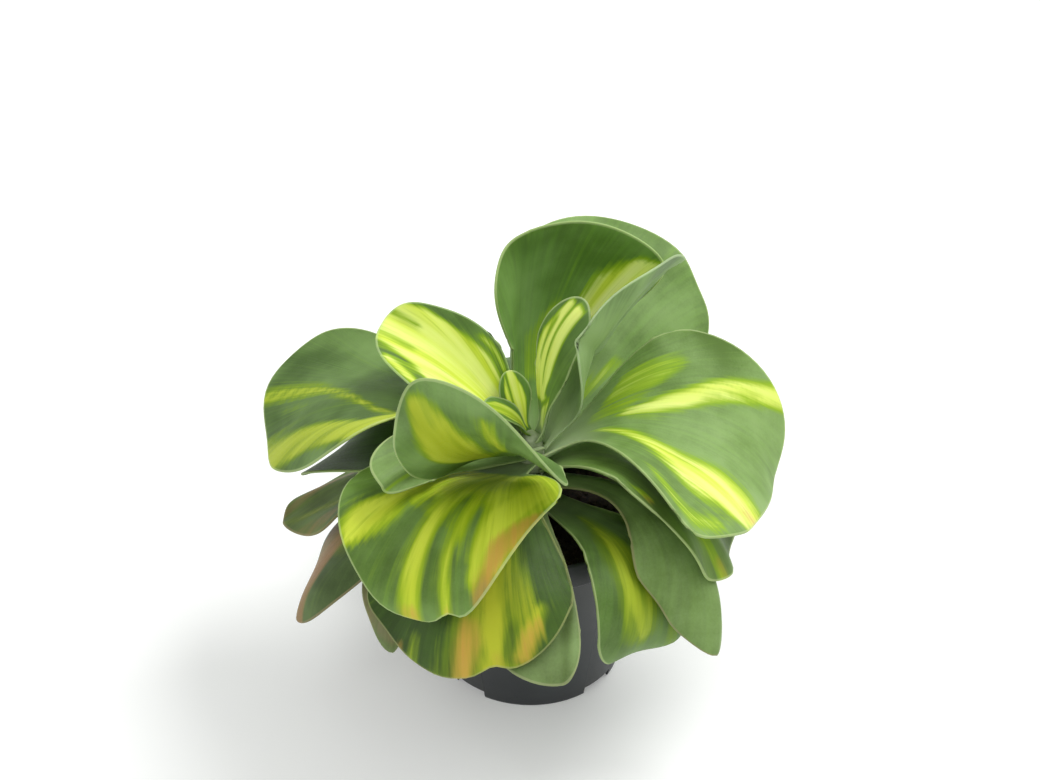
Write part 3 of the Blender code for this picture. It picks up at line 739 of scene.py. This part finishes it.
def add_leaf(leaf, order):
    look = LOOKS.get(leaf.name, PLAIN)
    root_height = FIRST_ROOT - ROOT_STEP * order
    line_u = np.linspace(0, 1, CELLS_ALONG + 1)
    line_v = np.sin(math.pi / 2 * np.linspace(-1, 1, CELLS_ACROSS + 1))
    u, v = (part.ravel() for part in np.meshgrid(line_u, line_v, indexing="ij"))
    shape = (CELLS_ALONG + 1, CELLS_ACROSS + 1, 3)
    grid = leaf_surface(leaf, root_height, u, v).reshape(shape)
    normals = grid_normals(grid)
    towards_tip = np.sqrt(np.clip((1 - u) / 0.25, 0, 1))
    towards_root = 0.45 + 0.55 * smooth_rise(u / 0.16)
    share = (1 - np.abs(v) ** 2.5) * towards_tip * towards_root
    thickness = leaf.thickness * (EDGE_SHARE + (1 - EDGE_SHARE) * share)

    # Both faces and a rounded margin between them
    flat_normals = normals.reshape(-1, 3)
    upper = grid.reshape(-1, 3)
    lower = upper - flat_normals * thickness[:, None]
    loop, outward = leaf_rim(grid, normals)
    half = thickness[loop][:, None] / 2
    middle = (upper[loop] + lower[loop]) / 2
    rings = [
        middle + half * (math.cos(angle) * flat_normals[loop] + math.sin(angle) * outward)
        for angle in np.radians(MARGIN_ANGLES)
    ]
    points = np.concatenate([upper, lower] + rings)
    count = len(upper)
    rows, columns = shape[:2]
    index = np.arange(count).reshape(rows, columns)
    corners = np.stack([index[:-1, :-1], index[1:, :-1], index[1:, 1:], index[:-1, 1:]], -1).reshape(-1, 4)
    faces = corners.tolist() + (corners[:, ::-1] + count).tolist()
    between = [2 * count + len(loop) * level + np.arange(len(loop)) for level in range(len(rings))]
    levels = [loop] + between + [loop + count]
    for first, second in zip(levels, levels[1:]):
        faces += np.stack([first, second, np.roll(second, -1), np.roll(first, -1)], -1).tolist()

    obj = mesh_object("look_" + leaf.name, points, faces, leaf_material(leaf, look, 7.3 * order + 1))
    along = share_along(leaf, u, v)
    margin = upper[loop][CELLS_ALONG // 8: -CELLS_ALONG // 8 - CELLS_ACROSS + 1]
    inset = np.sqrt(((upper[:, None] - margin[None]) ** 2).sum(-1)).min(1)

    def spread(values, on_rim=None):
        rim_values = values[loop] if on_rim is None else np.full(len(loop), on_rim)
        return np.concatenate([values, values] + [rim_values] * len(rings))

    yellow = painted(look.yellow, along, v) * (1 - painted(look.cuts, along, v))
    add_values(obj, "yellow", spread(yellow))
    add_values(obj, "blush", spread(painted(look.blush, along, v, 0.26)))
    add_values(obj, "inset", spread(inset, 0.0))
    # Pale neck fading out by 0.3 of the length: bloom plus painted light in the shade by the stem
    add_values(obj, "pale", spread(look.pale_root_bloom_and_light * (1 - smooth_rise(along / 0.3))))
    add_vein_map(obj, spread(along * leaf.length / 0.1), spread(vein_fan(leaf, look.fan, along, v)))
    tidy_mesh(obj)
    stand_for(obj, "leaf_" + leaf.name)


def stand_for(obj, node):
    """Put a finer piece in the place of a node of the frame."""
    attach(obj, "root")
    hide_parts(node)


def vein_fan(leaf, fan, along, v):
    """Which vein a point is on: parallel veins in the neck that fan out past the fan's focus."""
    start, side = fan
    focus = half_reach(leaf, np.array(start), np.array(side)) * smooth_rise(along / start)
    past = np.logaddexp(0, (along - start) * leaf.length / 0.012) * 0.012
    return (half_reach(leaf, along, v) - focus) / (0.010 + past)


def add_values(obj, name, values):
    attribute = obj.data.attributes.new(name, "FLOAT", "POINT")
    attribute.data.foreach_set("value", np.asarray(values, np.float32))


def add_vein_map(obj, along, v):
    layer = obj.data.uv_layers.new(name="vein")
    corners = np.zeros(len(obj.data.loops), np.int32)
    obj.data.loops.foreach_get("vertex_index", corners)
    pairs = np.stack([along[corners], v[corners]], -1).astype(np.float32)
    layer.data.foreach_set("uv", pairs.ravel())


def plastic_material():
    nodes = Nodes("charcoal_plastic")
    place = nodes.place()
    grain = nodes.noise(place, 1400.0, 3.0, 0.6)
    dust = nodes.noise(place, 28.0, 4.0, 0.6)
    colour = nodes.mix(nodes.ramp(dust, 0.4, 0.75), (0.014, 0.017, 0.019), (0.030, 0.035, 0.038))
    nodes.put(colour, nodes.shader.inputs["Base Color"])
    nodes.put(nodes.ramp(dust, 0.3, 0.7, 0.34, 0.50), nodes.shader.inputs["Roughness"])
    nodes.bump(grain, 0.12, 0.0002)
    return nodes.material


def soil_material():
    nodes = Nodes("crumbly_soil")
    place = nodes.place()
    crumbs = nodes.noise(place, 420.0, 5.0, 0.7)
    patches = nodes.noise(place, 90.0, 3.0)
    colour = nodes.mix(nodes.ramp(crumbs, 0.35, 0.7), (0.010, 0.007, 0.005), (0.060, 0.036, 0.022))
    colour = nodes.mix(nodes.ramp(patches, 0.5, 0.8, 0.0, 0.5), colour, (0.10, 0.065, 0.042))
    nodes.put(colour, nodes.shader.inputs["Base Color"])
    nodes.put(nodes.ramp(crumbs, 0.3, 0.7, 0.85, 0.98), nodes.shader.inputs["Roughness"])
    nodes.bump(crumbs, 0.8, 0.002)
    return nodes.material


def stem_material():
    nodes = Nodes("pale_stem")
    place = nodes.place()
    cloud = nodes.noise(place, 160.0, 3.0)
    powder = nodes.noise(place, 1100.0, 3.0, 0.7)
    colour = nodes.mix(nodes.ramp(cloud, 0.35, 0.7), (0.30, 0.38, 0.20), (0.52, 0.58, 0.40))
    nodes.put(colour, nodes.shader.inputs["Base Color"])
    nodes.put(nodes.ramp(powder, 0.3, 0.7, 0.5, 0.7), nodes.shader.inputs["Roughness"])
    nodes.bump(powder, 0.3, 0.0004)
    return nodes.material


def rounded(profile, radius, steps=3):
    """A line of points with each inner corner eased by a small curve."""
    line = [np.array(point, float) for point in profile]
    eased = [line[0]]
    for before, corner, after in zip(line, line[1:], line[2:]):
        reach = [min(radius, 0.45 * np.linalg.norm(end - corner)) for end in (before, after)]
        start = corner + (before - corner) * reach[0] / np.linalg.norm(before - corner)
        stop = corner + (after - corner) * reach[1] / np.linalg.norm(after - corner)
        for share in np.linspace(0, 1, steps + 1):
            eased.append(start * (1 - share) ** 2 + 2 * corner * share * (1 - share) + stop * share ** 2)
    return eased + [line[-1]]


def revolved(profile, sides):
    """Points and faces of a line of (radius, height) points turned about the pot's axis."""
    turn = 2 * math.pi * np.arange(sides) / sides
    points = np.concatenate([
        np.stack([radius * np.cos(turn), radius * np.sin(turn), np.full(sides, height)], -1)
        for radius, height in profile
    ])
    ring = np.arange(sides)
    faces = []
    for level in range(len(profile) - 1):
        low, high = ring + level * sides, ring + (level + 1) * sides
        faces += np.stack([low, np.roll(low, -1), np.roll(high, -1), high], -1).tolist()
    return points, faces


def tidy_mesh(obj, join_within=None):
    """Join points that lie together and turn the faces outwards."""
    bm = bmesh.new()
    bm.from_mesh(obj.data)
    if join_within:
        bmesh.ops.remove_doubles(bm, verts=bm.verts, dist=join_within)
    bmesh.ops.recalc_face_normals(bm, faces=bm.faces)
    bm.to_mesh(obj.data)
    bm.free()
    obj.data.shade_smooth()


def pot_inside():
    """Inner face of the pot, from the middle of the floor up to the rim."""
    top_radius = POT_RIM_RADIUS - POT_WALL
    band_foot = POT_HEIGHT - POT_BAND_HEIGHT
    return [
        (0, POT_FLOOR),
        (POT_BOSS_RADIUS - POT_FLOOR, POT_FLOOR),
        (POT_BOSS_RADIUS, POT_FOOT_HEIGHT + POT_FLOOR),
        (POT_BASE_RADIUS - POT_WALL, POT_FOOT_HEIGHT + POT_FLOOR),
        (top_radius - POT_BAND_STEP, band_foot - POT_WALL),
        (top_radius - POT_BAND_STEP / 2, band_foot + POT_WALL),
        (top_radius, POT_HEIGHT - POT_WALL / 2),
    ]


def pot_outside():
    """Rim, band, wall and underside of the pot, from the rim down to the middle."""
    band_foot = POT_HEIGHT - POT_BAND_HEIGHT
    return [
        (POT_RIM_RADIUS - POT_WALL / 2, POT_HEIGHT),
        (POT_RIM_RADIUS, POT_HEIGHT - POT_WALL / 2),
        (POT_RIM_RADIUS - 0.0004, band_foot),
        (POT_RIM_RADIUS - 0.0008 - POT_BAND_STEP, band_foot - 0.0006),
        (POT_BASE_RADIUS, 0.001),
        (POT_BASE_RADIUS - 0.0005, 0),
        (POT_BASE_RADIUS - POT_WALL, 0),
        (POT_BASE_RADIUS - POT_WALL, POT_FOOT_HEIGHT),
        (POT_BOSS_RADIUS + POT_FLOOR, POT_FOOT_HEIGHT),
        (POT_BOSS_RADIUS, 0),
        (0, 0),
    ]


def add_pot():
    points, faces = revolved(rounded(pot_inside() + pot_outside(), CORNER_RADIUS), POT_SIDES)
    pot = mesh_object("look_pot", points, faces, plastic_material())
    tidy_mesh(pot, JOIN_WITHIN)
    cutters = bpy.data.collections.new("cutters")
    bpy.context.scene.collection.children.link(cutters)
    for index in range(FOOT_NOTCHES):
        angle = math.radians(FOOT_NOTCH_TURN + 360 / FOOT_NOTCHES * index)
        bpy.ops.mesh.primitive_cube_add(
            size=1,
            location=(POT_BASE_RADIUS * math.cos(angle), POT_BASE_RADIUS * math.sin(angle), 0),
            rotation=(0, 0, angle),
            scale=(FOOT_NOTCH_DEPTH, FOOT_NOTCH_WIDTH, 2 * (POT_FOOT_HEIGHT - 0.0005)),
        )
        cutters.objects.link(bpy.context.object)
    for index in range(DRAIN_HOLES):
        angle = 2 * math.pi * index / DRAIN_HOLES
        centre = (DRAIN_CIRCLE * math.cos(angle), DRAIN_CIRCLE * math.sin(angle), POT_FOOT_HEIGHT)
        bpy.ops.mesh.primitive_cylinder_add(
            vertices=32, radius=DRAIN_RADIUS, depth=4 * POT_FLOOR, location=centre,
        )
        cutters.objects.link(bpy.context.object)
    cut = pot.modifiers.new("foot", "BOOLEAN")
    cut.operation = "DIFFERENCE"
    cut.operand_type = "COLLECTION"
    cut.collection = cutters
    finished = bpy.data.meshes.new_from_object(pot.evaluated_get(bpy.context.evaluated_depsgraph_get()))
    pot.modifiers.clear()
    pot.data = finished
    for cutter in list(cutters.objects):
        bpy.data.objects.remove(cutter, do_unlink=True)
    bpy.data.collections.remove(cutters)
    stand_for(pot, "pot")


def soil_top(radius, angle):
    """Height of the crumbly soil surface."""
    mound = SOIL_MOUND * np.exp(-(radius / 0.02) ** 2)
    lumps = np.sin(5 * angle + 260 * radius) + np.sin(9 * angle - 410 * radius + 1.3)
    grit = np.sin(31 * angle + 1900 * radius) * np.sin(23 * angle - 1500 * radius + 0.7)
    return SOIL_HEIGHT + mound + (SOIL_LUMP * lumps + 0.0003 * grit) * np.minimum(1, radius / 0.02)


def add_soil():
    hole = STEM_RADIUS + GAP
    boss_foot, boss_top, wall_foot, wall_top = pot_inside()[1:5]
    profile = [(0, STEM_FOOT), (hole, STEM_FOOT), (hole, SOIL_HEIGHT)]
    profile += [(radius, SOIL_HEIGHT) for radius in np.linspace(0.0085, 0.0545, 40)]
    profile += [
        (wall_top[0] - GAP, wall_top[1]),
        (wall_foot[0] - GAP, wall_foot[1] + GAP),
        (boss_top[0] - GAP, boss_top[1] + GAP),
        (boss_foot[0] - GAP, boss_foot[1] + GAP),
        (0, boss_foot[1] + GAP),
    ]
    points, faces = revolved(profile, POT_SIDES)
    radius = np.hypot(points[:, 0], points[:, 1])
    top = (points[:, 2] > SOIL_HEIGHT - 0.0001) & (radius > STEM_RADIUS + 2 * GAP)
    points[top, 2] = soil_top(radius[top], np.arctan2(points[top, 1], points[top, 0]))

    # Loose crumbs on top, each a small dented ball
    rng = np.random.default_rng(7)
    ball = bmesh.new()
    bmesh.ops.create_icosphere(ball, subdivisions=2, radius=1)
    shape = np.array([vert.co[:] for vert in ball.verts])
    sides = [[vert.index for vert in face.verts] for face in ball.faces]
    ball.free()
    pieces = [points]
    count = len(points)
    for crumb in range(CRUMBS):
        distance = math.sqrt(rng.uniform(0.010 ** 2, 0.0525 ** 2))
        angle = rng.uniform(0, 2 * math.pi)
        size = rng.uniform(*CRUMB_SIZES)
        dents = 1 + 0.25 * np.sin(shape @ rng.normal(0, 3, 3) + rng.uniform(0, 6))
        lump = shape * dents[:, None] * size * rng.uniform(0.6, 1.2, 3)
        height = float(soil_top(distance, angle)) + 0.3 * size
        pieces.append(lump + [distance * math.cos(angle), distance * math.sin(angle), height])
        faces += [[count + index for index in side] for side in sides]
        count += len(shape)
    soil = mesh_object("look_soil", np.concatenate(pieces), faces, soil_material())
    tidy_mesh(soil, JOIN_WITHIN)
    stand_for(soil, "soil")


def add_stem():
    """The stem with a ring of leaf scars at each leaf's height."""
    dome = np.linspace(STEM_TOP, STEM_SHOULDER, 16)
    shaft = np.arange(STEM_SHOULDER, STEM_FOOT, -0.0006)[1:]
    line = [(0, STEM_TOP)]
    for height in np.concatenate([dome, shaft])[1:]:
        scar = SCAR_DEPTH * np.sin(2 * math.pi * height / ROOT_STEP)
        line.append((max(0.0, stem_radius(height) + scar - 0.0001), height))
    line += [(STEM_RADIUS, STEM_FOOT + GAP), (0, STEM_FOOT + GAP)]
    points, faces = revolved(line, STEM_SIDES)
    stem = mesh_object("look_stem", points, faces, stem_material())
    tidy_mesh(stem, JOIN_WITHIN)
    stand_for(stem, "stem")


def floor_material():
    nodes = Nodes("pale_floor")
    cloud = nodes.noise(nodes.place(), 3.0, 2.0)
    colour = nodes.mix(cloud, (0.80, 0.82, 0.80), (0.84, 0.85, 0.84))
    nodes.put(colour, nodes.shader.inputs["Base Color"])
    nodes.shader.inputs["Roughness"].default_value = 0.7
    nodes.shader.inputs["Emission Color"].default_value = (1, 1, 1, 1)
    nodes.shader.inputs["Emission Strength"].default_value = FLOOR_GLOW
    return nodes.material


def add_floor():
    bpy.ops.mesh.primitive_plane_add(size=12, location=(0, 0, -0.0002))
    floor = bpy.context.object
    floor.name = "floor"
    floor.data.materials.append(floor_material())


def add_light(name, place, size, power):
    data = bpy.data.lights.new(name, "AREA")
    data.shape = "DISK"
    data.size = size
    data.energy = power
    obj = bpy.data.objects.new(name, data)
    bpy.context.scene.collection.objects.link(obj)
    obj.location = place
    towards = np.array(AIM) - np.array(place)
    flat = math.hypot(towards[0], towards[1])
    pitch = math.pi / 2 - math.atan2(-towards[2], flat)
    obj.rotation_euler = (pitch, 0, math.atan2(-towards[0], towards[1]))


def add_camera():
    data = bpy.data.cameras.new("camera")
    data.lens = LENS
    data.sensor_width = SENSOR_WIDTH
    obj = bpy.data.objects.new("camera", data)
    bpy.context.scene.collection.objects.link(obj)
    obj.location = CAMERA_PLACE
    obj.rotation_euler = (math.radians(CAMERA_TILT), 0, 0)
    bpy.context.scene.camera = obj


def add_world():
    world = bpy.data.worlds.new("studio")
    bpy.context.scene.world = world
    world.use_nodes = True
    background = world.node_tree.nodes["Background"]
    background.inputs["Color"].default_value = (1, 1, 1, 1)
    background.inputs["Strength"].default_value = SKY_STRENGTH


bpy.context.scene.view_settings.view_transform = "Standard"
add_camera()
add_world()
add_floor()
add_light("key", (0.9, 0.5, 1.7), 1.2, 26)
add_light("fill", (-0.9, -1.2, 1.4), 1.6, 8)

for order, leaf in enumerate(LEAVES):
    add_leaf(leaf, order)

add_pot()
add_soil()
add_stem()
